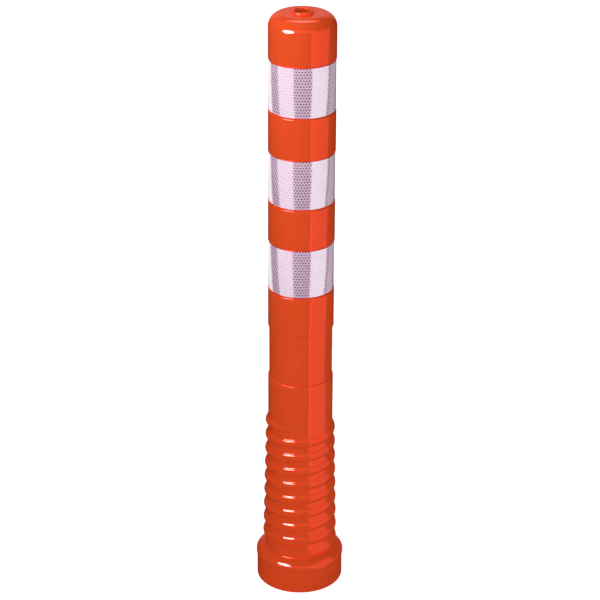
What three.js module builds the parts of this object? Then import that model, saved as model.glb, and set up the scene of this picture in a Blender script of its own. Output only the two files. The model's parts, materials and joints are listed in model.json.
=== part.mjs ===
// Self-righting flexible marker post, 750 mm tall and 80 mm across.
// One hollow polyurethane moulding: a domed tube with a holed boss on its crown,
// three reflective bands in shallow recesses, a helically ribbed foot that bends,
// and a collar that a long bolt clamps to the ground. Millimetres, +Z up,
// origin at the centre of the underside.

import * as THREE from "three";

// Driving dimensions of the post tube.
const postHeight = 750;
const tubeRadius = 40.1;
const wallThickness = 5;
const columns = 36;

// Crown and the boss round its tool hole. The crown sinks a little towards the boss.
const crownFilletRadius = 15.5;
const crownFilletSteps = 6;
const crownThickness = 6;
const crownDish = 1.5;
const bossRadius = 12.5;
const bossRise = 1.8;
const bossRoundRadius = 1.3;
const bossRoundSteps = 3;
const toolHoleRadius = 9.8;

// Recesses of the tube, from the crown down. The lowest one stays bare.
const bandHeight = 60;
const bandMarginHeight = 0.9;
const recessTopDepth = 56.8;
const landHeight = 51.6;
const bareRecessHeight = 66.4;
const recessDepth = 1.4;
const recessStepHeight = 0.9;
const bandNames = ["top", "middle", "bottom"];

// Reflective bands.
const bandThickness = 0.5;
const bandGlueThickness = 0.2;
const bandJointGap = 1.2;

// Helically ribbed foot. The rib's section is a wider arc above its crest than below.
const ribPitch = 19.8;
const ribLowestCrestHeight = 33.5;
const ribUpperRadius = 8.3;
const ribLowerRadius = 6.2;
const ribHeight = 3.2;
const ribFilletSize = 0.9;
const ribRunInBottomHeight = 40;
const ribRunInTopHeight = 54;
const ribRunOutBottomHeight = 221.6;
const ribRunOutTopHeight = 228;
const footFlareTopHeight = 215;
const footFlareSlopeShare = 0.02125;
const ribbedZoneBottom = 46;
const ribbedZoneTop = 230;
const sectionCount = 10;
const sectionRows = 7;

// Collar at the ground.
const collarRadius = 54.2;
const lipRadius = 55.1;
const lipBottomHeight = 27;
const lipFullHeight = 32;
const lipTopHeight = 35;
const lipRoundSize = 0.9;
const shoulderTopOverhang = 4.4;
const shoulderTopHeight = 45.5;
const shoulderBulge = 1.5;
const shoulderRows = 8;
const collarEdgeRound = 1;
const floorThickness = 14;

// Steel insert moulded into the collar's floor.
const plateRadius = 44;
const plateThickness = 5;
const plateBottomHeight = 4;
const insertClearance = 0.3;
const bushOuterRadius = 13;
const boltHoleRadius = 8.75;
const bushBottomHeight = 1;
const bushTopHeight = 16;
const bushEdgeChamfer = 0.8;

const fullTurn = Math.PI * 2;
const quarterTurn = Math.PI / 2;
const boreRadius = tubeRadius - wallThickness;
const crownHeight = postHeight - bossRise;
const shoulderTopRadius = tubeRadius + shoulderTopOverhang;

const orangeMoulding = new THREE.MeshStandardMaterial({
  name: "orange_polyurethane", color: "#dc4a26", roughness: 0.25, metalness: 0,
});
const bandSheet = new THREE.MeshStandardMaterial({
  name: "white_prismatic_sheet", color: "#dcd6e4", roughness: 0.35, metalness: 0,
});
const insertSteel = new THREE.MeshStandardMaterial({
  name: "zinc_plated_steel", color: "#a9adb0", roughness: 0.4, metalness: 1,
});

// Turns a closed outline of [radius, height] points, listed counterclockwise, about Z.
function turned(outline) {
  const points = outline.map(([radius, height]) => new THREE.Vector2(radius, height));
  points.push(points[0].clone());
  const geometry = new THREE.LatheGeometry(points, columns);
  geometry.rotateX(quarterTurn);
  return geometry;
}

// Points of a round between two angles, for an outline.
function roundPoints(centreRadius, centreHeight, radius, fromAngle, toAngle, steps) {
  const points = [];
  for (let step = 0; step <= steps; step += 1) {
    const angle = fromAngle + ((toAngle - fromAngle) * step) / steps;
    points.push([
      centreRadius + radius * Math.cos(angle),
      centreHeight + radius * Math.sin(angle),
    ]);
  }
  return points;
}

function smoothShare(from, to, value) {
  const share = THREE.MathUtils.clamp((value - from) / (to - from), 0, 1);
  return share * share * (3 - 2 * share);
}

// The larger of two radii, with a small fillet where they meet.
function filletedMax(first, second, size) {
  const share = THREE.MathUtils.clamp(0.5 + (second - first) / (2 * size), 0, 1);
  return first + (second - first) * share + size * share * (1 - share);
}

// Radius of the foot without its rib: the tube, flaring towards the ground.
function coreRadius(height) {
  return tubeRadius + Math.max(0, footFlareTopHeight - height) * footFlareSlopeShare;
}

// Radius of the collar's lip and its sloping, slightly convex shoulder, with a rounded
// corner between them.
function shoulderRadius(height) {
  const share = (height - lipTopHeight) / (shoulderTopHeight - lipTopHeight);
  const bulge = shoulderBulge * 4 * share * (1 - share);
  const slope = THREE.MathUtils.lerp(lipRadius, shoulderTopRadius, share) + bulge;
  return -filletedMax(-lipRadius, -slope, lipRoundSize);
}

// How far the rib's crest stands out of the core: it rises out of the shoulder at its
// lower end and runs out into the tube at its upper end.
function ribRise(crestHeight) {
  const runIn = smoothShare(ribRunInBottomHeight, ribRunInTopHeight, crestHeight);
  const runOut = smoothShare(ribRunOutBottomHeight, ribRunOutTopHeight, crestHeight);
  return THREE.MathUtils.lerp(-ribFilletSize, ribHeight, runIn * (1 - runOut));
}

// Outer radius of the foot at an angle about Z and a height, with its rib, which is a
// right-handed helix of round section.
function footRadius(angle, height) {
  let radius = filletedMax(coreRadius(height), shoulderRadius(height), ribFilletSize);
  let crestHeight = ribLowestCrestHeight + (ribPitch * angle) / fullTurn;
  while (crestHeight < ribRunOutTopHeight) {
    const arcRadius = height > crestHeight ? ribUpperRadius : ribLowerRadius;
    const offset = Math.abs(height - crestHeight);
    if (offset < arcRadius) {
      const sag = arcRadius - Math.sqrt(arcRadius * arcRadius - offset * offset);
      const crest = coreRadius(crestHeight) + ribRise(crestHeight) - sag;
      radius = filletedMax(radius, crest, ribFilletSize);
    }
    crestHeight += ribPitch;
  }
  return radius;
}

// Closed body between an outer surface of changing radius and a round inner outline.
// outerRings and innerRings go upwards; each ring is a height and a radius function.
function ringBody(outerRings, innerRings) {
  const rings = [...outerRings, ...innerRings.slice().reverse()];
  const positions = [];
  for (const ring of rings) {
    for (let column = 0; column < columns; column += 1) {
      const angle = (fullTurn * column) / columns;
      const radius = ring.radiusAt(angle);
      positions.push(radius * Math.cos(angle), radius * Math.sin(angle), ring.height);
    }
  }
  const indices = [];
  rings.forEach((ring, row) => {
    const nextRow = (row + 1) % rings.length;
    for (let column = 0; column < columns; column += 1) {
      const nextColumn = (column + 1) % columns;
      const low = row * columns + column;
      const lowNext = row * columns + nextColumn;
      const high = nextRow * columns + column;
      const highNext = nextRow * columns + nextColumn;
      indices.push(low, lowNext, highNext, low, highNext, high);
    }
  });
  const geometry = new THREE.BufferGeometry();
  geometry.setAttribute("position", new THREE.Float32BufferAttribute(positions, 3));
  geometry.setIndex(indices);
  geometry.computeVertexNormals();
  return geometry;
}

function plainRing(radius, height) {
  return { height, radiusAt: () => radius };
}

function footRing(height, base) {
  return { height: height - base, radiusAt: (angle) => footRadius(angle, height) };
}

// One section of the ribbed foot, built from its own underside upwards.
function ribbedSection(base, sectionHeight) {
  const outer = [];
  for (let row = 0; row <= sectionRows; row += 1) {
    outer.push(footRing(base + (sectionHeight * row) / sectionRows, base));
  }
  const inner = [plainRing(boreRadius, 0), plainRing(boreRadius, sectionHeight)];
  return ringBody(outer, inner);
}

// Collar: side wall that swells to the lip, sloping shoulder, and a cup whose floor
// holds the steel plate in a slot that opens into the bush's hole.
function baseCollar() {
  const outer = [
    plainRing(collarRadius - collarEdgeRound, 0),
    plainRing(collarRadius, collarEdgeRound),
    plainRing(collarRadius, lipBottomHeight),
  ];
  for (let row = 0; row <= shoulderRows; row += 1) {
    const height = THREE.MathUtils.lerp(lipFullHeight, ribbedZoneBottom, row / shoulderRows);
    outer.push(footRing(height, 0));
  }
  const holeRadius = bushOuterRadius + insertClearance;
  const slotRadius = plateRadius + insertClearance;
  const slotBottom = plateBottomHeight - insertClearance;
  const slotTop = plateBottomHeight + plateThickness + insertClearance;
  const inner = [
    plainRing(holeRadius, 0),
    plainRing(holeRadius, slotBottom),
    plainRing(slotRadius, slotBottom),
    plainRing(slotRadius, slotTop),
    plainRing(holeRadius, slotTop),
    plainRing(holeRadius, floorThickness),
    plainRing(boreRadius, floorThickness),
    plainRing(boreRadius, ribbedZoneBottom),
  ];
  return ringBody(outer, inner);
}

function steelBasePlate() {
  const holeRadius = bushOuterRadius + insertClearance;
  return turned([
    [holeRadius, 0],
    [plateRadius, 0],
    [plateRadius, plateThickness],
    [holeRadius, plateThickness],
  ]);
}

function boltBush() {
  const height = bushTopHeight - bushBottomHeight;
  return turned([
    [boltHoleRadius, 0],
    [bushOuterRadius - bushEdgeChamfer, 0],
    [bushOuterRadius, bushEdgeChamfer],
    [bushOuterRadius, height - bushEdgeChamfer],
    [bushOuterRadius - bushEdgeChamfer, height],
    [boltHoleRadius, height],
  ]);
}

// Heights of the recesses, as [bottom, top] pairs from the crown down: those for the
// bands, then the bare one. A shorter post has fewer of them.
function recessSpans() {
  const bandRecessHeights = Array(bandNames.length).fill(bandHeight + bandMarginHeight * 2);
  const spans = [];
  let top = postHeight - recessTopDepth;
  for (const height of [...bandRecessHeights, bareRecessHeight]) {
    const bottom = top - height;
    if (bottom - recessStepHeight > ribbedZoneTop) {
      spans.push([bottom, top]);
    }
    top = bottom - landHeight;
  }
  return spans;
}

// Outline of one recess, from its lower edge to its upper edge.
function recessOutline([bottom, top], depth) {
  return [
    [tubeRadius, bottom - recessStepHeight],
    [tubeRadius - depth, bottom],
    [tubeRadius - depth, top],
    [tubeRadius, top + recessStepHeight],
  ];
}

// Post tube with its recesses, crown, boss and tool hole.
function postTube(base) {
  const outline = [[boreRadius, ribbedZoneTop], [tubeRadius, ribbedZoneTop]];
  for (const span of recessSpans().reverse()) {
    outline.push(...recessOutline(span, recessDepth));
  }
  const filletRadius = tubeRadius - crownFilletRadius;
  const filletHeight = crownHeight - crownFilletRadius;
  outline.push(...roundPoints(
    filletRadius, filletHeight, crownFilletRadius, 0, quarterTurn, crownFilletSteps,
  ));
  outline.push([bossRadius, crownHeight - crownDish]);
  const bossRoundHeight = postHeight - bossRoundRadius;
  outline.push(...roundPoints(
    bossRadius - bossRoundRadius, bossRoundHeight, bossRoundRadius,
    0, quarterTurn, bossRoundSteps,
  ));
  outline.push(...roundPoints(
    toolHoleRadius + bossRoundRadius, bossRoundHeight, bossRoundRadius,
    quarterTurn, Math.PI, bossRoundSteps,
  ));
  const ceiling = crownHeight - crownThickness;
  outline.push([toolHoleRadius, ceiling], [boreRadius - wallThickness, ceiling]);
  outline.push([boreRadius, ceiling - wallThickness]);
  return turned(outline.map(([radius, height]) => [radius, height - base]));
}

// One face of a reflective band, as the corners of the tube's polygon all the way
// round from the back, with both ends drawn in by half the gap between them.
function bandFace(radius) {
  const corners = [];
  for (let column = 0; column <= columns; column += 1) {
    const angle = quarterTurn + (fullTurn * column) / columns;
    corners.push(new THREE.Vector2(radius * Math.cos(angle), radius * Math.sin(angle)));
  }
  const gapShare = bandJointGap / 2 / corners[0].distanceTo(corners[1]);
  const first = corners[0].clone().lerp(corners[1], gapShare);
  const last = corners[columns].clone().lerp(corners[columns - 1], gapShare);
  return [first, ...corners.slice(1, columns), last];
}

// Reflective band: a strip bent round the tube until its ends almost meet at the back.
function reflectiveBand() {
  const innerRadius = tubeRadius - recessDepth + bandGlueThickness;
  const outside = bandFace(innerRadius + bandThickness);
  const inside = bandFace(innerRadius).reverse();
  const strip = new THREE.Shape([...outside, ...inside]);
  return new THREE.ExtrudeGeometry(strip, { depth: bandHeight, bevelEnabled: false });
}

function namedMesh(name, geometry, material, height) {
  const mesh = new THREE.Mesh(geometry, material);
  mesh.name = name;
  mesh.position.z = height;
  return mesh;
}

const foot = new THREE.Group();
foot.add(
  namedMesh("base_collar", baseCollar(), orangeMoulding, 0),
  namedMesh("steel_base_plate", steelBasePlate(), insertSteel, plateBottomHeight),
  namedMesh("bolt_bush", boltBush(), insertSteel, bushBottomHeight),
);

const ribbedFoot = new THREE.Group();
const sectionHeight = (ribbedZoneTop - ribbedZoneBottom) / sectionCount;
for (let index = 0; index < sectionCount; index += 1) {
  const base = ribbedZoneBottom + sectionHeight * index;
  const name = `ribbed_section_${String(index + 1).padStart(2, "0")}`;
  ribbedFoot.add(namedMesh(name, ribbedSection(base, sectionHeight), orangeMoulding, base));
}

const post = new THREE.Group();
post.position.z = ribbedZoneTop;
post.add(namedMesh("post_tube", postTube(ribbedZoneTop), orangeMoulding, 0));
recessSpans().slice(0, bandNames.length).forEach(([bottom], index) => {
  const height = bottom + bandMarginHeight - ribbedZoneTop;
  const name = `reflective_band_${bandNames[index]}`;
  post.add(namedMesh(name, reflectiveBand(), bandSheet, height));
});

const markerPost = new THREE.Group();
markerPost.add(foot, ribbedFoot, post);

export default markerPost;
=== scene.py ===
import json
import math

import bmesh
import bpy
import numpy as np
from mathutils import Euler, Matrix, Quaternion, Vector

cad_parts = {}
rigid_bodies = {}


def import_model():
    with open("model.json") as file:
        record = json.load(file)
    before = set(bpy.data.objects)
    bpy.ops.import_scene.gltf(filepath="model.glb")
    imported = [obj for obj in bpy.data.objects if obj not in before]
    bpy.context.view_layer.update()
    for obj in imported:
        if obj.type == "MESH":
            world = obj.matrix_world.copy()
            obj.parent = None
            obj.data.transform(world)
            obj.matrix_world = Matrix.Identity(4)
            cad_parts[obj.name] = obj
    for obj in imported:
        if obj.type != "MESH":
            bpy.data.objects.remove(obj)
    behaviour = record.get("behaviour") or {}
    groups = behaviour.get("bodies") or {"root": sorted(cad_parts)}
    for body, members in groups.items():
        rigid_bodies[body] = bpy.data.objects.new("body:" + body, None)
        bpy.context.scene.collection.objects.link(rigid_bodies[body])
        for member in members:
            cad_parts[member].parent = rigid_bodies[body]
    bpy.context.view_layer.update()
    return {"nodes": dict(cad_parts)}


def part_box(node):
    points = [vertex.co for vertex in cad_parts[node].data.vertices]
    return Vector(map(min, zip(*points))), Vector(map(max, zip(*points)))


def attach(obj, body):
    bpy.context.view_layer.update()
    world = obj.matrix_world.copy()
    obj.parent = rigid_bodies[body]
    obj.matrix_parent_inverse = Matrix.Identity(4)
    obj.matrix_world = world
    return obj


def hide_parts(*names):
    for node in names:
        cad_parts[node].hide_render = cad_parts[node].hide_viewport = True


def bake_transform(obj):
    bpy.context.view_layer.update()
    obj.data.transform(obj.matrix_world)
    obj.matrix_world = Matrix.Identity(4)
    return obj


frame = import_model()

# A self-righting flexible marker post: one glossy orange polyurethane moulding with a
# holed crown, three prismatic bands, a helically ribbed foot and a ground collar.
# Metres, in the frame of the CAD part: +Z up, the photograph is taken from -Y.

MM = 0.001
FULL_TURN = 2 * math.pi

# The camera, from a perspective fit to the photograph's outline: metres, degrees, pixels
# of the picture, and the sensor's width in millimetres.
CAMERA_DISTANCE = 2.257
CAMERA_HEIGHT = 1.420
CAMERA_PITCH = 24.63
CAMERA_SIDE = 0.0012
CAMERA_ROLL = 0.33
CAMERA_REACH = 50
SENSOR_WIDTH = 36
FOCAL_PIXELS = 2038
PHOTO_PIXELS = 600


def add_camera():
    data = bpy.data.cameras.new("photo_camera")
    data.sensor_width = SENSOR_WIDTH
    data.lens = FOCAL_PIXELS * SENSOR_WIDTH / PHOTO_PIXELS
    data.clip_end = CAMERA_REACH
    camera = bpy.data.objects.new("photo_camera", data)
    camera.location = (-CAMERA_SIDE, -CAMERA_DISTANCE, CAMERA_HEIGHT)
    pitched = Euler((math.radians(90 - CAMERA_PITCH), 0, 0)).to_matrix()
    rolled = Euler((0, 0, math.radians(CAMERA_ROLL))).to_matrix()
    camera.rotation_euler = (pitched @ rolled).to_euler()
    bpy.context.scene.collection.objects.link(camera)
    bpy.context.scene.camera = camera


add_camera()
bpy.context.scene.view_settings.view_transform = "Standard"

# Names in the frame, the sizes that it gives, and the wall, whose thickness is guessed.
SECTION_COUNT = 10
SECTION_NAMES = [f"ribbed_section_{number + 1:02d}" for number in range(SECTION_COUNT)]
BAND_NODES = ["reflective_band_top", "reflective_band_middle", "reflective_band_bottom"]
ZONE_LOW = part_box(SECTION_NAMES[0])[0].z
ZONE_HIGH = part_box(SECTION_NAMES[-1])[1].z
POST_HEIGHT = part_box("post_tube")[1].z
TUBE_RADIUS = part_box("post_tube")[1].x
LIP_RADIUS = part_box("base_collar")[1].x
WALL_THICKNESS = 5 * MM
BORE_RADIUS = TUBE_RADIUS - WALL_THICKNESS

# The helical rib: its round crest is fuller above than below. It rises out of the
# shoulder over its run-in, and sinks into the tube over its run-out.
RIB_PITCH = 19.8 * MM
RIB_LOWEST_CREST = 33.5 * MM
RIB_UPPER_RADIUS = 8.3 * MM
RIB_LOWER_RADIUS = 6.2 * MM
RIB_HEIGHT = 3.2 * MM
RIB_FILLET = 0.9 * MM
RIB_RUN_IN = (40 * MM, 54 * MM)
RIB_RUN_OUT = (221.6 * MM, 228 * MM)

# What the rib winds round: the foot widens a little on its way down to the shoulder,
# which slopes out to the collar's lip.
FLARE_TOP = 215 * MM
FLARE_SLOPE = 0.02125
LIP_LOW = 27 * MM
LIP_FULL = 32 * MM
LIP_TOP = 36.2 * MM
LIP_ROUND = 0.7 * MM
SHOULDER_TOP = 45.5 * MM
SHOULDER_TOP_RADIUS = TUBE_RADIUS + 4.4 * MM
SHOULDER_BULGE = 1.1 * MM

# How finely the pieces are turned, and in how many steps an arc of their outline bends.
COLUMNS = 144
ROW_HEIGHT = 0.575 * MM
EDGE_STEPS = 5
CROWN_STEPS = 16
SHEET_STEPS = 2


def smooth_share(low, high, value):
    """How far a value has come from low to high, eased at both ends."""
    share = np.clip((value - low) / (high - low), 0, 1)
    return share * share * (3 - 2 * share)


def filleted_max(first, second, size):
    """The greater of two radii, with a fillet where they cross."""
    share = np.clip(0.5 + (second - first) / (2 * size), 0, 1)
    return first + (second - first) * share + size * share * (1 - share)


def core_radius(height):
    """Radius of the foot between the ribs."""
    return TUBE_RADIUS + np.maximum(0, FLARE_TOP - height) * FLARE_SLOPE


def shoulder_radius(height):
    """Radius of the bulging shoulder, cut off at the lip."""
    share = (height - LIP_TOP) / (SHOULDER_TOP - LIP_TOP)
    bulge = SHOULDER_BULGE * 4 * share * (1 - share)
    slope = LIP_RADIUS + (SHOULDER_TOP_RADIUS - LIP_RADIUS) * share + bulge
    return -filleted_max(-LIP_RADIUS, -slope, LIP_ROUND)


def rib_rise(crest_height):
    """How far the rib's crest stands out where it has climbed to a height."""
    share = smooth_share(*RIB_RUN_IN, crest_height)
    share *= 1 - smooth_share(*RIB_RUN_OUT, crest_height)
    return (RIB_HEIGHT + RIB_FILLET) * share - RIB_FILLET


def foot_radius(angle, height):
    """Outer radius of the foot at angles about Z and heights: a right-handed round rib."""
    radius = filleted_max(core_radius(height), shoulder_radius(height), RIB_FILLET)
    crest_height = RIB_LOWEST_CREST + RIB_PITCH * (angle % FULL_TURN) / FULL_TURN
    while np.min(crest_height) < RIB_RUN_OUT[1]:
        arc = np.where(height > crest_height, RIB_UPPER_RADIUS, RIB_LOWER_RADIUS)
        offset = np.abs(height - crest_height)
        sag = arc - np.sqrt(np.maximum(0, arc**2 - offset**2))
        crest = core_radius(crest_height) + rib_rise(crest_height) - sag
        near = (offset < arc) & (crest_height < RIB_RUN_OUT[1])
        radius = np.where(near, filleted_max(radius, crest, RIB_FILLET), radius)
        crest_height = crest_height + RIB_PITCH
    return radius


# The small steps, in radians and metres, that the foot's slopes are measured over.
SLOPE_TURN = 1e-4
SLOPE_RISE = 0.01 * MM


def foot_normal(angle, height):
    """Outward direction of the foot's surface, from small steps of its radius."""
    reach = foot_radius(angle, height)
    around = foot_radius(angle + SLOPE_TURN, height) - foot_radius(angle - SLOPE_TURN, height)
    along = foot_radius(angle, height + SLOPE_RISE) - foot_radius(angle, height - SLOPE_RISE)
    around /= 2 * SLOPE_TURN
    along /= 2 * SLOPE_RISE
    cosine, sine = np.cos(angle), np.sin(angle)
    normal = np.stack([
        reach * cosine + around * sine,
        reach * sine - around * cosine,
        -reach * along,
    ], axis=-1)
    return normal / np.linalg.norm(normal, axis=-1, keepdims=True)


def linear(hex_colour):
    """An sRGB hex colour as linear RGBA."""
    values = [int(hex_colour[place:place + 2], 16) / 255 for place in (1, 3, 5)]
    return [v / 12.92 if v <= 0.04045 else ((v + 0.055) / 1.055) ** 2.4 for v in values] + [1]


def add_node(tree, kind, settings=None, links=None):
    """Adds a node, sets its properties or inputs, and links its inputs to other outputs."""
    node = tree.nodes.new(kind)
    for name, value in (settings or {}).items():
        if isinstance(name, str) and hasattr(node, name):
            setattr(node, name, value)
        else:
            node.inputs[name].default_value = value
    for name, output in (links or {}).items():
        tree.links.new(output, node.inputs[name])
    return node


def new_material(name):
    material = bpy.data.materials.new(name)
    material.use_nodes = True
    tree = material.node_tree
    tree.nodes.clear()
    return material, tree


# The sizes that show on the polyurethane: the clouds of its colour, the ripples round and
# up its wall, and the marks of handling.
CLOUD_SIZE = 45 * MM
RIPPLE_WIDTH = 11 * MM
RIPPLE_HEIGHT = 34 * MM
RIPPLE_DEPTH = 0.03 * MM
HANDLING_SIZE = 6 * MM


def moulded_polyurethane():
    """Polyurethane elastomer, cast in a polished mould and pigmented right through: a
    saturated orange with a wet gloss that the pigment tints, slow ripples down the wall
    where it has shrunk, and a faint unevenness of the gloss from handling."""
    material, tree = new_material("moulded_polyurethane")
    place = add_node(tree, "ShaderNodeTexCoord").outputs["Object"]
    cloud = add_node(
        tree, "ShaderNodeTexNoise", {"Scale": 1 / CLOUD_SIZE, "Detail": 3}, {"Vector": place},
    )
    colour = add_node(
        tree, "ShaderNodeMix",
        {"data_type": "RGBA", 6: linear("#e64e24"), 7: linear("#e95227")},
        {0: cloud.outputs["Fac"]},
    )
    drawn = add_node(
        tree, "ShaderNodeMapping",
        {"Scale": (1 / RIPPLE_WIDTH, 1 / RIPPLE_WIDTH, 1 / RIPPLE_HEIGHT)},
        {"Vector": place},
    )
    ripple = add_node(
        tree, "ShaderNodeTexNoise", {"Scale": 1, "Detail": 2}, {"Vector": drawn.outputs[0]},
    )
    bump = add_node(
        tree, "ShaderNodeBump", {"Strength": 1, "Distance": RIPPLE_DEPTH},
        {"Height": ripple.outputs["Fac"]},
    )
    handling = add_node(
        tree, "ShaderNodeTexNoise", {"Scale": 1 / HANDLING_SIZE, "Detail": 4}, {"Vector": place},
    )
    gloss = add_node(
        tree, "ShaderNodeMapRange",
        {"From Min": 0.3, "From Max": 0.7, "To Min": 0.03, "To Max": 0.06},
        {"Value": handling.outputs["Fac"]},
    )
    shader = add_node(
        tree, "ShaderNodeBsdfPrincipled",
        {"IOR": 2.2, "Specular IOR Level": 1, "Specular Tint": (1, 0.05, 0.05, 1)},
        {"Base Color": colour.outputs[2], "Roughness": gloss.outputs["Result"],
         "Normal": bump.outputs["Normal"]},
    )
    add_node(tree, "ShaderNodeOutputMaterial", links={"Surface": shader.outputs["BSDF"]})
    return material


# The sheet's welds, staggered rows of round dots, and the clouds of its colour: all in
# millimetres, as the sheet's map is.
WELD_SPACING = 3.5
WELD_RADIUS = 0.85
WELD_BLUR = 0.3
SHEET_CLOUD_SIZE = 9


def prismatic_sheet():
    """Retroreflective sheet: a clear acrylic face over metal-backed prisms, which give a
    lilac grey that mirrors lights broadly, held by small staggered welds that look dark
    because they have no prisms, and that fade where the face mirrors a lamp."""
    material, tree = new_material("prismatic_sheet")
    place = add_node(tree, "ShaderNodeUVMap").outputs[0]
    # Two grids of welds, the second moved by half a cell, and the way to the nearest weld.
    cell = (WELD_SPACING, 2 * WELD_SPACING, 0)
    reaches = []
    for offset in ((0, 0, 0), (0.5, 0.5, 0)):
        turns = add_node(
            tree, "ShaderNodeVectorMath",
            {"operation": "MULTIPLY_ADD", 1: (1 / cell[0], 1 / cell[1], 0), 2: offset},
            {0: place},
        )
        share = add_node(
            tree, "ShaderNodeVectorMath", {"operation": "FRACTION"}, {0: turns.outputs[0]},
        )
        local = add_node(
            tree, "ShaderNodeVectorMath",
            {"operation": "MULTIPLY_ADD", 1: cell, 2: (-cell[0] / 2, -cell[1] / 2, 0)},
            {0: share.outputs[0]},
        )
        reach = add_node(
            tree, "ShaderNodeVectorMath", {"operation": "LENGTH"}, {0: local.outputs[0]},
        )
        reaches.append(reach.outputs["Value"])
    nearest = add_node(
        tree, "ShaderNodeMath", {"operation": "MINIMUM"}, {0: reaches[0], 1: reaches[1]},
    )
    weld = add_node(
        tree, "ShaderNodeMapRange",
        {"interpolation_type": "SMOOTHSTEP", "From Min": WELD_RADIUS + WELD_BLUR,
         "From Max": WELD_RADIUS - WELD_BLUR},
        {"Value": nearest.outputs[0]},
    ).outputs["Result"]
    cloud = add_node(
        tree, "ShaderNodeTexNoise", {"Scale": 1 / SHEET_CLOUD_SIZE, "Detail": 3},
        {"Vector": place},
    )
    face = add_node(
        tree, "ShaderNodeMix",
        {"data_type": "RGBA", 6: linear("#cdacc4"), 7: linear("#d3b4cb")},
        {0: cloud.outputs["Fac"]},
    )
    colour = add_node(
        tree, "ShaderNodeMix", {"data_type": "RGBA", 7: linear("#6c4c6c")},
        {0: weld, 6: face.outputs[2]},
    )
    gloss = add_node(
        tree, "ShaderNodeMapRange", {"To Min": 0.16, "To Max": 0.1}, {"Value": weld},
    )
    depth = add_node(
        tree, "ShaderNodeMapRange", {"To Min": 2, "To Max": 2.9}, {"Value": weld},
    )
    shader = add_node(
        tree, "ShaderNodeBsdfPrincipled",
        {"Specular IOR Level": 1, "Coat Weight": 0.1, "Coat Roughness": 0.08},
        {"Base Color": colour.outputs[2], "Roughness": gloss.outputs["Result"],
         "IOR": depth.outputs["Result"]},
    )
    add_node(tree, "ShaderNodeOutputMaterial", links={"Surface": shader.outputs["BSDF"]})
    return material


# The steel's turning marks. Real ones lie closer than this, and wouldn't show.
MARK_LENGTH = 20 * MM
MARK_SPACING = 0.4 * MM


def zinc_plated_steel():
    """Turned steel with bright zinc plating: grey metal with fine turning marks, along
    which its shine changes."""
    material, tree = new_material("zinc_plated_steel")
    place = add_node(tree, "ShaderNodeTexCoord").outputs["Object"]
    marks = add_node(
        tree, "ShaderNodeMapping",
        {"Scale": (1 / MARK_LENGTH, 1 / MARK_LENGTH, 1 / MARK_SPACING)},
        {"Vector": place},
    )
    grain = add_node(
        tree, "ShaderNodeTexNoise", {"Scale": 1, "Detail": 2}, {"Vector": marks.outputs[0]},
    )
    gloss = add_node(
        tree, "ShaderNodeMapRange", {"To Min": 0.25, "To Max": 0.5},
        {"Value": grain.outputs["Fac"]},
    )
    shader = add_node(
        tree, "ShaderNodeBsdfPrincipled", {"Base Color": linear("#b4b8ba"), "Metallic": 1},
        {"Roughness": gloss.outputs["Result"]},
    )
    add_node(tree, "ShaderNodeOutputMaterial", links={"Surface": shader.outputs["BSDF"]})
    return material


ORANGE = moulded_polyurethane()
SHEET = prismatic_sheet()
STEEL = zinc_plated_steel()


def rounded(corners, steps=EDGE_STEPS):
    """An outline from (radius, height, round) corners: each round becomes an arc."""
    outline = []
    for place, (radius, height, size) in enumerate(corners):
        here = Vector((radius, height))
        if not size:
            outline.append(here)
            continue
        before = (Vector(corners[place - 1][:2]) - here).normalized()
        after = (Vector(corners[(place + 1) % len(corners)][:2]) - here).normalized()
        half = before.angle(after) / 2
        centre = here + (before + after).normalized() * size / math.sin(half)
        start = here + before * size / math.tan(half) - centre
        end = here + after * size / math.tan(half) - centre
        sweep = start.angle_signed(end)
        for step in range(steps + 1):
            cosine, sine = math.cos(sweep * step / steps), math.sin(sweep * step / steps)
            outline.append(centre + Vector((
                start.x * cosine + start.y * sine,
                start.y * cosine - start.x * sine,
            )))
    return [(point.x, point.y) for point in outline]


def spin_outline(outline, angle=FULL_TURN, start=0.0):
    """Turns a closed outline of (radius, height) points about Z."""
    bm = bmesh.new()
    cosine, sine = math.cos(start), math.sin(start)
    verts = [bm.verts.new((radius * cosine, radius * sine, height)) for radius, height in outline]
    edges = [bm.edges.new((verts[place - 1], vert)) for place, vert in enumerate(verts)]
    whole = angle >= FULL_TURN
    bmesh.ops.spin(
        bm, geom=verts + edges, cent=(0, 0, 0), axis=(0, 0, 1), angle=angle, steps=COLUMNS,
        use_merge=whole,
    )
    if not whole:
        bmesh.ops.holes_fill(bm, edges=[edge for edge in bm.edges if edge.is_boundary], sides=0)
    bmesh.ops.recalc_face_normals(bm, faces=bm.faces)
    return bm


# The angle between faces from which an edge shows as an edge.
SHARP_ANGLE = math.radians(40)


def make_piece(bm, name, material):
    """Makes a bmesh a smooth-shaded piece of one material."""
    mesh = bpy.data.meshes.new(name)
    bm.to_mesh(mesh)
    bm.free()
    mesh.materials.append(material)
    mesh.shade_smooth()
    mesh.set_sharp_from_angle(angle=SHARP_ANGLE)
    piece = bpy.data.objects.new(name, mesh)
    bpy.context.scene.collection.objects.link(piece)
    return piece


# What lies further out than this share of the wall belongs to the foot's outer skin.
SKIN_WALL_SHARE = 0.2
SKIN_RADIUS = BORE_RADIUS + WALL_THICKNESS * SKIN_WALL_SHARE
HEIGHT_TOLERANCE = 0.001 * MM
# A face is level where its normal rises this much.
LEVEL_RISE = 0.99


def shape_foot(bm, low):
    """Moves the outer skin above a height out to the rib's shape."""
    skin = [vert for vert in bm.verts
            if vert.co.z > low - HEIGHT_TOLERANCE and vert.co.xy.length > SKIN_RADIUS]
    places = np.array([vert.co for vert in skin])
    angles = np.arctan2(places[:, 1], places[:, 0])
    reaches = foot_radius(angles, places[:, 2])
    for vert, angle, reach in zip(skin, angles, reaches):
        vert.co.x = reach * math.cos(angle)
        vert.co.y = reach * math.sin(angle)


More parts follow.
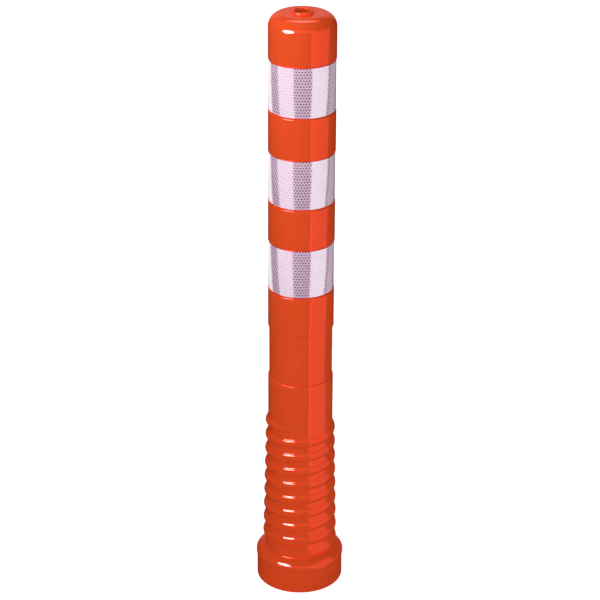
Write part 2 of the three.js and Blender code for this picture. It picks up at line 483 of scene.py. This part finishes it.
def set_foot_normals(piece, low):
    """Gives the rib's skin its exact normals, so that the sections meet without a line.
    Where a normal stays zero, Blender's own one holds."""
    mesh = piece.data
    normals = np.zeros((len(mesh.loops), 3))
    places = np.array([vert.co for vert in mesh.vertices])
    exact = foot_normal(np.arctan2(places[:, 1], places[:, 0]), places[:, 2])
    for face in mesh.polygons:
        centre = face.center
        level = abs(face.normal.z) > LEVEL_RISE
        if centre.z > low and centre.xy.length > SKIN_RADIUS and not level:
            for loop in face.loop_indices:
                normals[loop] = exact[mesh.loops[loop].vertex_index]
    mesh.normals_split_custom_set(normals.tolist())


def rows_between(low, high):
    """Evenly spaced heights from low to high, both included."""
    count = round((high - low) / ROW_HEIGHT)
    return [low + (high - low) * row / count for row in range(count + 1)]


def add_ribbed_sections():
    """The ribbed foot, one closed ring for each section."""
    for place, node in enumerate(SECTION_NAMES):
        low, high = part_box(node)[0].z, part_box(node)[1].z
        outline = [(TUBE_RADIUS, height) for height in rows_between(low, high)]
        outline += [(BORE_RADIUS, high), (BORE_RADIUS, low)]
        bm = spin_outline(outline)
        shape_foot(bm, low)
        piece = make_piece(bm, f"rib_moulding_{place + 1:02d}", ORANGE)
        set_foot_normals(piece, low)
        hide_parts(node)
        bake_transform(piece)


add_ribbed_sections()

# The collar, and the steel insert in its floor.
COLLAR_RADIUS = 54.2 * MM
COLLAR_EDGE_ROUND = 1.1 * MM
HOLE_EDGE_ROUND = 0.4 * MM
FLOOR_THICKNESS = 14 * MM
INSERT_CLEARANCE = 0.3 * MM
BOLT_HOLE_RADIUS = 8.75 * MM
BUSH_EDGE_ROUND = 0.8 * MM
BUSH_HOLE_ROUND = 0.4 * MM


def add_collar():
    """The collar, with a slot in its floor that holds the steel plate."""
    plate_low, plate_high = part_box("steel_base_plate")
    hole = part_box("bolt_bush")[1].x + INSERT_CLEARANCE
    slot = plate_high.x + INSERT_CLEARANCE
    outline = rounded([
        (hole, 0, HOLE_EDGE_ROUND),
        (COLLAR_RADIUS, 0, COLLAR_EDGE_ROUND),
        (COLLAR_RADIUS, LIP_LOW, 0),
    ])
    for height in rows_between(LIP_LOW, LIP_FULL)[1:]:
        swell = float(smooth_share(LIP_LOW, LIP_FULL, height))
        outline.append((COLLAR_RADIUS + (LIP_RADIUS - COLLAR_RADIUS) * swell, height))
    outline += [(LIP_RADIUS, height) for height in rows_between(LIP_FULL, ZONE_LOW)[1:]]
    outline += [
        (BORE_RADIUS, ZONE_LOW),
        (BORE_RADIUS, FLOOR_THICKNESS),
        (hole, FLOOR_THICKNESS),
        (hole, plate_high.z + INSERT_CLEARANCE),
        (slot, plate_high.z + INSERT_CLEARANCE),
        (slot, plate_low.z - INSERT_CLEARANCE),
        (hole, plate_low.z - INSERT_CLEARANCE),
    ]
    bm = spin_outline(outline)
    shape_foot(bm, LIP_FULL)
    piece = make_piece(bm, "collar_moulding", ORANGE)
    set_foot_normals(piece, LIP_FULL)
    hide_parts("base_collar")
    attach(piece, "collar")


def add_steel_insert():
    """The turned bush, and the steel for the plate that the frame already has."""
    low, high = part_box("bolt_bush")
    outline = rounded([
        (BOLT_HOLE_RADIUS, low.z, BUSH_HOLE_ROUND),
        (high.x, low.z, BUSH_EDGE_ROUND),
        (high.x, high.z, BUSH_EDGE_ROUND),
        (BOLT_HOLE_RADIUS, high.z, BUSH_HOLE_ROUND),
    ])
    piece = make_piece(spin_outline(outline), "turned_bush", STEEL)
    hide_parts("bolt_bush")
    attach(piece, "collar")
    plate = frame["nodes"]["steel_base_plate"]
    plate.data.materials.clear()
    plate.data.materials.append(STEEL)


add_collar()
add_steel_insert()

# The tube's recesses: how far their sloped walls reach past them, and how round their
# lower and upper edges are. A recess for a band is taller than the band by a margin at
# both edges, and the margins are cut deeper as slots.
RECESS_DEPTH = 1.4 * MM
BAND_MARGIN = 0.9 * MM
BAND_STEP = 0.5 * MM
BAND_ROUNDS = (1.7 * MM, 0.4 * MM)
SLOT_DEPTH = 1.2 * MM
BARE_RECESS = (286.6 * MM, 353 * MM)
BARE_STEP = 0.9 * MM
BARE_ROUNDS = (1 * MM, 1 * MM)

# The crown, with a boss round the hole for the key that turns the anchor bolt.
CROWN_FILLET = 15.5 * MM
CROWN_DISH = 1.5 * MM
CROWN_THICKNESS = 6 * MM
BOSS_RISE = 1.8 * MM
BOSS_RADIUS = 12.5 * MM
BOSS_ROUND = 1.3 * MM
BOSS_FOOT_ROUND = 0.8 * MM
TOOL_HOLE_RADIUS = 9.8 * MM
CEILING_EDGE_ROUND = 0.5 * MM


def recess_corners(low, high, step, rounds, slot=0.0):
    """Corners of a recess from its lower edge up, with a deeper slot along both edges."""
    floor = TUBE_RADIUS - RECESS_DEPTH
    corners = [(TUBE_RADIUS, low - step, rounds[0]), (floor - slot, low, 0)]
    if slot:
        corners += [
            (floor - slot, low + BAND_MARGIN, 0),
            (floor, low + BAND_MARGIN, 0),
            (floor, high - BAND_MARGIN, 0),
            (floor - slot, high - BAND_MARGIN, 0),
        ]
    return corners + [(floor - slot, high, 0), (TUBE_RADIUS, high + step, rounds[1])]


def add_tube():
    """The tube from the foot to the crown, turned as one outline of its wall."""
    recesses = recess_corners(*BARE_RECESS, BARE_STEP, BARE_ROUNDS)
    for node in reversed(BAND_NODES):
        low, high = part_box(node)
        recesses += recess_corners(
            low.z - BAND_MARGIN, high.z + BAND_MARGIN, BAND_STEP, BAND_ROUNDS, SLOT_DEPTH,
        )
    crown = POST_HEIGHT - BOSS_RISE
    ceiling = crown - CROWN_THICKNESS
    corners = [(BORE_RADIUS, ZONE_HIGH, 0), (TUBE_RADIUS, ZONE_HIGH, 0)]
    corners += recesses
    corners.append((TUBE_RADIUS, crown - CROWN_FILLET, 0))
    # The outline is rounded in two parts. The corner that each part then leaves out only
    # gives the arc next to it a direction.
    shell = rounded(corners)[:-1]
    shell += rounded([
        (TUBE_RADIUS, ZONE_HIGH, 0),
        (TUBE_RADIUS, crown, CROWN_FILLET),
        (BOSS_RADIUS, crown - CROWN_DISH, BOSS_FOOT_ROUND),
        (BOSS_RADIUS, POST_HEIGHT, BOSS_ROUND),
        (TOOL_HOLE_RADIUS, POST_HEIGHT, BOSS_ROUND),
        (TOOL_HOLE_RADIUS, ceiling, CEILING_EDGE_ROUND),
        (BORE_RADIUS - WALL_THICKNESS, ceiling, 0),
        (BORE_RADIUS, ceiling - WALL_THICKNESS, 0),
    ], CROWN_STEPS)[1:]
    piece = make_piece(spin_outline(shell), "tube_moulding", ORANGE)
    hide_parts("post_tube")
    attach(piece, "post")


add_tube()

# The reflective bands: strips that almost meet at the back.
BAND_THICKNESS = 0.5 * MM
BAND_JOINT_GAP = 1.2 * MM
BAND_EDGE_ROUND = 0.12 * MM


def lay_sheet_map(piece, radius):
    """Lays the sheet's own map on the strip, in millimetres round and up from its edge."""
    mesh = piece.data
    layer = mesh.uv_layers.new(name="sheet_map")
    low = min(vert.co.z for vert in mesh.vertices)
    for face in mesh.polygons:
        middle = math.atan2(face.center.x, -face.center.y)
        for loop in face.loop_indices:
            place = mesh.vertices[mesh.loops[loop].vertex_index].co
            angle = math.atan2(place.x, -place.y)
            angle -= FULL_TURN * round((angle - middle) / FULL_TURN)
            layer.data[loop].uv = (angle * radius / MM, (place.z - low) / MM)


def add_bands():
    """The three sheets, each a strip bent round the tube from one side of its gap to the
    other."""
    for node in BAND_NODES:
        low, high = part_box(node)
        inner = high.x - BAND_THICKNESS
        outline = rounded([
            (inner, low.z, 0),
            (high.x, low.z, BAND_EDGE_ROUND),
            (high.x, high.z, BAND_EDGE_ROUND),
            (inner, high.z, 0),
        ], SHEET_STEPS)
        gap = BAND_JOINT_GAP / high.x
        bm = spin_outline(outline, FULL_TURN - gap, math.pi / 2 + gap / 2)
        name = node.replace("reflective_band", "sheet")
        piece = make_piece(bm, name, SHEET)
        lay_sheet_map(piece, high.x)
        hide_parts(node)
        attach(piece, "post")


add_bands()

# The floor, and how its paper glows for the camera: from the first strength at the first
# distance from the post to the second at the second, where it is white.
FLOOR_SIZE = 24
PAPER_GLOW = (0.6, 1)
PAPER_REACH = (0.2, 2)


def add_floor():
    """White paper: a diffuse sheet that keeps the post's shadow and shows pale."""
    bm = bmesh.new()
    bmesh.ops.create_grid(bm, x_segments=1, y_segments=1, size=FLOOR_SIZE / 2)
    mesh = bpy.data.meshes.new("studio_floor")
    bm.to_mesh(mesh)
    bm.free()
    material, tree = new_material("white_paper")
    ray = add_node(tree, "ShaderNodeLightPath")
    paper = add_node(tree, "ShaderNodeBsdfDiffuse", {"Color": linear("#ededed")})
    place = add_node(tree, "ShaderNodeTexCoord").outputs["Object"]
    reach = add_node(tree, "ShaderNodeVectorMath", {"operation": "LENGTH"}, {0: place})
    white = add_node(
        tree, "ShaderNodeMapRange",
        {"From Min": PAPER_REACH[0], "From Max": PAPER_REACH[1],
         "To Min": PAPER_GLOW[0], "To Max": PAPER_GLOW[1]},
        {"Value": reach.outputs["Value"]},
    )
    glow = add_node(
        tree, "ShaderNodeMath", {"operation": "MULTIPLY"},
        {0: ray.outputs["Is Camera Ray"], 1: white.outputs["Result"]},
    )
    light = add_node(
        tree, "ShaderNodeEmission", {"Color": (1, 1, 1, 1)}, {"Strength": glow.outputs[0]},
    )
    both = add_node(tree, "ShaderNodeAddShader", links={0: paper.outputs[0], 1: light.outputs[0]})
    add_node(tree, "ShaderNodeOutputMaterial", links={"Surface": both.outputs[0]})
    mesh.materials.append(material)
    floor = bpy.data.objects.new("studio_floor", mesh)
    bpy.context.scene.collection.objects.link(floor)
    floor.visible_glossy = False


# What the gloss sees of the studio behind the post: panels of its panorama, each with its
# strength, the azimuth on both sides where it starts to reach round the back, and its
# lowest and highest elevation. Degrees, each with half the width of its soft edge.
REAR_PANELS = [
    # The wall behind.
    (0.6, (150, 12), (6, 6), (34, 8)),
    # The backdrop low behind the post, which glints where the ribs turn away.
    (0.9, (160, 8), (-14, 5), (4, 6)),
    # The ceiling's lit panel.
    (9, (140, 25), (58, 6), (78, 6)),
]
ROOM_STRENGTH = 0.005

# The plain fill on diffuse surfaces: its strength, how soft it starts at the horizon, and
# how high it reaches, full up to the first and none above the second. Heights as sines.
FILL_STRENGTH = 0.65
FILL_START = 0.02
FILL_HEIGHTS = (0.3, 0.9)


def add_studio():
    """The world: a plain fill for diffuse surfaces that fades upwards, white for the camera,
    and the studio's panels for gloss."""
    world = bpy.data.worlds.new("studio")
    bpy.context.scene.world = world
    world.use_nodes = True
    tree = world.node_tree
    tree.nodes.clear()
    direction = add_node(tree, "ShaderNodeTexCoord").outputs["Generated"]
    x, y, z = add_node(tree, "ShaderNodeSeparateXYZ", links={0: direction}).outputs
    front = add_node(tree, "ShaderNodeMath", {"operation": "MULTIPLY", 1: -1}, {0: y})
    azimuth = add_node(
        tree, "ShaderNodeMath", {"operation": "ARCTAN2"}, {0: x, 1: front.outputs[0]},
    ).outputs[0]
    away = add_node(tree, "ShaderNodeMath", {"operation": "ABSOLUTE"}, {0: azimuth}).outputs[0]
    elevation = add_node(tree, "ShaderNodeMath", {"operation": "ARCSINE"}, {0: z}).outputs[0]
    seen = add_node(tree, "ShaderNodeValue").outputs[0]
    seen.default_value = ROOM_STRENGTH
    for strength, (start, start_soft), (low, low_soft), (high, high_soft) in REAR_PANELS:
        edges = [
            (away, start, start_soft),
            (elevation, low, low_soft),
            (elevation, high, -high_soft),
        ]
        links = {}
        for angle, middle, soft in edges:
            share = add_node(
                tree, "ShaderNodeMapRange",
                {"interpolation_type": "SMOOTHSTEP", "From Min": math.radians(middle - soft),
                 "From Max": math.radians(middle + soft)},
                {"Value": angle, **links},
            ).outputs["Result"]
            links = {"To Max": share}
        seen = add_node(
            tree, "ShaderNodeMath", {"operation": "MULTIPLY_ADD", 1: strength},
            {0: share, 2: seen},
        ).outputs[0]
    rising = add_node(
        tree, "ShaderNodeMapRange",
        {"From Min": -FILL_START, "From Max": FILL_START, "To Max": FILL_STRENGTH}, {"Value": z},
    )
    fill = add_node(
        tree, "ShaderNodeMapRange",
        {"From Min": FILL_HEIGHTS[1], "From Max": FILL_HEIGHTS[0]},
        {"Value": z, "To Max": rising.outputs["Result"]},
    )
    ray = add_node(tree, "ShaderNodeLightPath")
    plain = add_node(
        tree, "ShaderNodeMath", {"operation": "MAXIMUM"},
        {0: ray.outputs["Is Camera Ray"], 1: fill.outputs["Result"]},
    )
    strength = add_node(
        tree, "ShaderNodeMix", {"data_type": "FLOAT"},
        {0: ray.outputs["Is Glossy Ray"], 2: plain.outputs[0], 3: seen},
    )
    background = add_node(
        tree, "ShaderNodeBackground", {"Color": (1, 1, 1, 1)}, {"Strength": strength.outputs[0]},
    )
    add_node(tree, "ShaderNodeOutputWorld", links={"Surface": background.outputs[0]})


def add_lamp(
    name, place, target, size, power,
    shape="DISK", gloss=True, diffuse=True, only=None, roll=0,
):
    """An area lamp of a width and a height, aimed at a point and rolled about its aim by
    degrees. It may show in the gloss only, or light diffuse surfaces or some pieces only."""
    data = bpy.data.lights.new(name, "AREA")
    data.shape = shape
    data.size, data.size_y = size
    data.energy = power
    lamp = bpy.data.objects.new(name, data)
    lamp.location = place
    aim = (Vector(target) - Vector(place)).to_track_quat("-Z", "Y")
    lamp.rotation_euler = (aim @ Quaternion((0, 0, 1), math.radians(roll))).to_euler()
    lamp.visible_camera = False
    lamp.visible_glossy = gloss
    lamp.visible_diffuse = diffuse
    lamp.light_linking.receiver_collection = only
    bpy.context.scene.collection.objects.link(lamp)


# Tall windows round the post: how far they stand, how low and high they reach, and the
# watts for each square metre that the gloss sees as white.
WINDOW_DISTANCE = 0.7
WINDOW_LOW = -0.395
WINDOW_HIGH = 0.86
WHITE_POWER = 4


def add_window(name, azimuth, half_angle, glow, only=None):
    """A window that shows in the gloss, at an azimuth from the camera to the right. It
    fills its half angle to either side, in degrees, and a glow of 1 is white."""
    turn = math.radians(azimuth)
    middle = (WINDOW_LOW + WINDOW_HIGH) / 2
    place = (WINDOW_DISTANCE * math.sin(turn), -WINDOW_DISTANCE * math.cos(turn), middle)
    width = 2 * WINDOW_DISTANCE * math.tan(math.radians(half_angle))
    height = WINDOW_HIGH - WINDOW_LOW
    power = WHITE_POWER * glow * width * height
    add_lamp(
        name, place, (0, 0, middle), (width, height), power,
        shape="RECTANGLE", diffuse=False, only=only,
    )


def gather(name, word):
    """A collection of the pieces with a word in their names, for a lamp to light."""
    collection = bpy.data.collections.new(name)
    for piece in bpy.data.objects:
        if word in piece.name:
            collection.objects.link(piece)
    return collection


add_floor()
add_studio()
sheets = gather("sheets", "sheet_")
moulding = gather("moulding", "moulding")
add_window("right_window", azimuth=63, half_angle=34, glow=0.6, only=moulding)
add_window("right_sheet_window", azimuth=64, half_angle=32, glow=1.18, only=sheets)
add_window("window_frame", azimuth=32, half_angle=3, glow=0.2, only=moulding)
add_window("left_window", azimuth=-58, half_angle=30, glow=0.95, only=sheets)
add_window("left_rear_window", azimuth=-145, half_angle=18, glow=1.2, only=sheets)
add_window("right_rear_window", azimuth=128, half_angle=22, glow=0.35, only=sheets)
add_lamp(
    "front_softbox", place=(0, -1.65, 1.15), target=(0, 0, 0.4), size=(1.2, 1.2), power=22,
    gloss=False,
)
add_lamp(
    "front_panel", place=(0.05, -1, 1), target=(0, 0, 0.3), size=(1.5, 0.35), power=1.5,
    shape="RECTANGLE", diffuse=False, only=moulding,
)
add_lamp(
    "top_softbox", place=(-0.2, 0.1, 1.3), target=(0, 0, 0.75), size=(0.25, 0.25), power=2,
    gloss=False,
)
add_lamp(
    "left_glow", place=(-0.42, -0.22, 0.84), target=(0, 0, 0.7), size=(0.3, 0.3), power=1.2,
    gloss=False,
)
add_lamp(
    "left_floor_glow", place=(-0.45, 0.25, 0.02), target=(0, 0, 0.3), size=(0.4, 0.1), power=0.7,
    gloss=False,
)
add_lamp(
    "right_floor_glow", place=(0.45, 0.25, 0.02), target=(0, 0, 0.35), size=(0.4, 0.1), power=2,
    gloss=False,
)
add_lamp(
    "beauty_dish", place=(-0.527, -0.491, 0.8), target=(0, 0, 0.8), size=(0.56, 0.32), power=30,
    shape="ELLIPSE", diffuse=False, only=moulding, roll=12,
)
